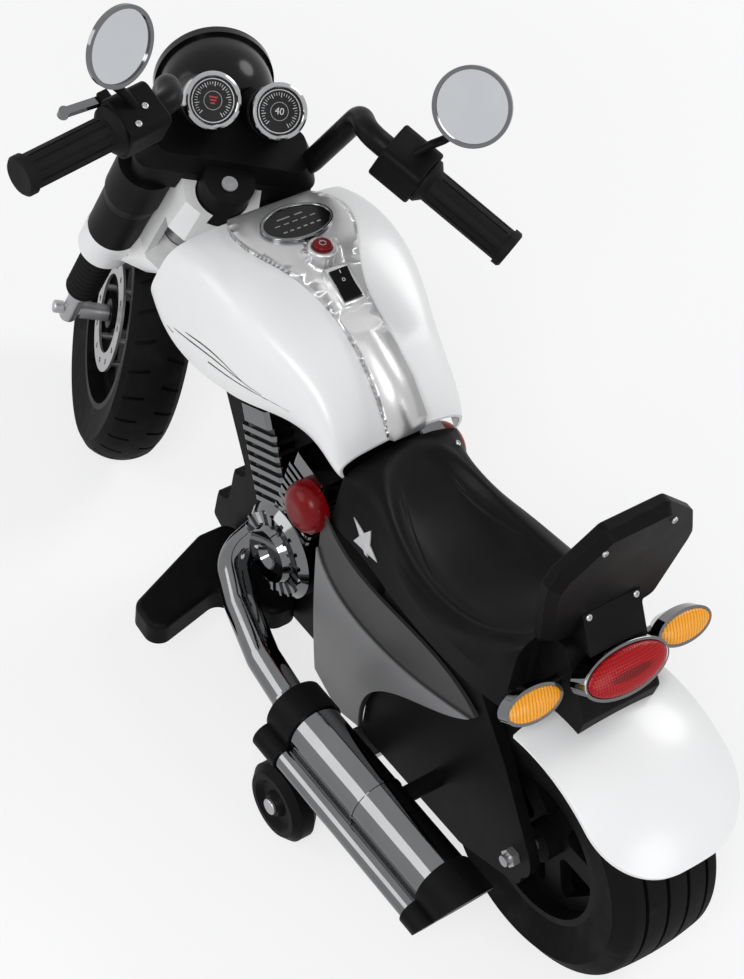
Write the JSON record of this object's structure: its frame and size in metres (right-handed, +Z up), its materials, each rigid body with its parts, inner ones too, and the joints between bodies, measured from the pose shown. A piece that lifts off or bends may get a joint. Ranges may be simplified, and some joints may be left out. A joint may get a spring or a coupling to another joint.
{
  "type": "kids electric motorbike",
  "caption": "Cruiser-style ride-on motorbike for a child, with a turning fork, rolling wheels with stabilisers, tank controls, backrest, lamps and twin exhausts.",
  "frame": {"origin": "contact point of the rear tyre on the floor, in the middle plane", "axes": "+X forward towards the front wheel, +Y to the rider's left, +Z up"},
  "size_m": [1.121, 0.4955, 0.7709],
  "materials": {
    "white_shell": "pearl white moulded plastic",
    "black_plastic": "satin black moulded plastic",
    "headlight_black": "gloss black",
    "silver_panel": "silver painted plastic",
    "grey_cover": "satin grey",
    "chrome": "bright plated plastic",
    "steel": "zinc plated steel",
    "silver_leg": "silver painted",
    "bar_black": "black painted steel tube",
    "wheel_rim": "silver plastic",
    "tyre": "black moulded tyre",
    "trainer_black": "black moulded plastic",
    "rubber": "soft black",
    "seat_black": "satin black moulded seat",
    "red_plastic": "red plastic",
    "red_lens": "red lens",
    "amber_lens": "amber lens",
    "clear_lens": "clear moulded lens",
    "dial": "black printed dial",
    "mirror": "mirrored plastic",
    "battery": "sealed battery case"
  },
  "bodies": {
    "chassis": {"frame_left": "black_plastic", "frame_right": "black_plastic", "steering_head": "steel", "head_bushes": "black_plastic", "tank_shell": "white_shell", "tank_panel": "silver_panel", "media_bezel": "chrome", "media_panel": "headlight_black", "seat": "seat_black", "backrest_front": "black_plastic", "backrest_rear": "black_plastic", "tail_bracket": "black_plastic", "tail_lamp_housing": "chrome", "tail_lamp_lens": "red_lens", "signal_housings": "chrome", "signal_lenses": "amber_lens", "rear_fender": "white_shell", "side_covers": "grey_cover", "engine_panels": "chrome", "air_cleaners": "red_plastic", "header_pipes": "chrome", "mufflers": "chrome", "muffler_caps": "black_plastic", "footboards": "black_plastic", "trainer_arms": "steel", "rear_axle": "steel", "gear_motor": "black_plastic", "battery": "battery", "control_box": "black_plastic", "charge_socket": "black_plastic"},
    "steering": {"steering_stem": "steel", "fork_legs": "silver_leg", "fork_gaiters": "rubber", "fork_cover": "white_shell", "fork_shrouds": "black_plastic", "binnacle": "black_plastic", "gauge_rings": "chrome", "gauge_dials": "dial", "headlight_shell": "headlight_black", "headlight_lens": "clear_lens", "handlebar": "bar_black", "switch_housings": "black_plastic", "grips": "rubber", "front_axle": "steel"},
    "front_wheel": {"front_tyre": "tyre", "front_rim": "wheel_rim", "front_discs": "silver_leg"},
    "rear_wheel": {"rear_tyre": "tyre", "rear_rim": "wheel_rim"},
    "trainer_left": {"trainer_wheel_left": "trainer_black"},
    "trainer_right": {"trainer_wheel_right": "trainer_black"},
    "mirror_left": {"mirror_shell_left": "chrome", "mirror_glass_left": "mirror"},
    "mirror_right": {"mirror_shell_right": "chrome", "mirror_glass_right": "mirror"},
    "button": {"power_button": "red_plastic"},
    "rocker": {"rocker_switch": "black_plastic"},
    "pedal": {"accelerator_pedal": "black_plastic"},
    "lever": {"horn_lever": "chrome"}
  },
  "joints": [
    {"name": "steering_turn", "type": "hinge", "parent": "chassis", "child": "steering", "pos_m": [0.82, 0, 0.16462], "axis": [-0.4179, 0, 0.9085], "range_deg": [-4, 62]},
    {"name": "front_wheel_spin", "type": "hinge", "parent": "steering", "child": "front_wheel", "pos_m": [0.82, 0, 0.16462], "axis": [0.4405, 0.8746, 0.2026], "continuous": true},
    {"name": "rear_wheel_spin", "type": "hinge", "parent": "chassis", "child": "rear_wheel", "pos_m": [0, 0, 0.145], "axis": [0, 1, 0], "continuous": true},
    {"name": "trainer_left_spin", "type": "hinge", "parent": "chassis", "child": "trainer_left", "pos_m": [0.228, 0.182, 0.044], "axis": [0, 1, 0], "continuous": true},
    {"name": "trainer_right_spin", "type": "hinge", "parent": "chassis", "child": "trainer_right", "pos_m": [0.228, -0.182, 0.044], "axis": [0, 1, 0], "continuous": true},
    {"name": "mirror_left_turn", "type": "hinge", "parent": "steering", "child": "mirror_left", "pos_m": [0.60781, 0.17311, 0.69841], "axis": [-0.4179, 0, 0.9085], "range_deg": [-20, 20]},
    {"name": "mirror_right_turn", "type": "hinge", "parent": "steering", "child": "mirror_right", "pos_m": [0.4615, -0.11741, 0.63112], "axis": [-0.4179, 0, 0.9085], "range_deg": [-20, 20]},
    {"name": "power_button_press", "type": "slide", "parent": "chassis", "child": "button", "axis": [0, 0, -1], "range_m": [0, 0.0025], "stiffness_N_per_m": 400},
    {"name": "rocker_tilt", "type": "hinge", "parent": "chassis", "child": "rocker", "pos_m": [0.4536, 0, 0.48935], "axis": [0, 1, 0], "range_deg": [-7, 7]},
    {"name": "pedal_press", "type": "hinge", "parent": "chassis", "child": "pedal", "pos_m": [0.4364, -0.131, 0.121], "axis": [0, 1, 0], "range_deg": [0, 8], "stiffness_Nm_per_rad": 2},
    {"name": "finger_lever_pull", "type": "hinge", "parent": "steering", "child": "lever", "pos_m": [0.63253, 0.17065, 0.65076], "axis": [-0.4179, 0, 0.9085], "range_deg": [0, 12], "stiffness_Nm_per_rad": 0.5}
  ]
}
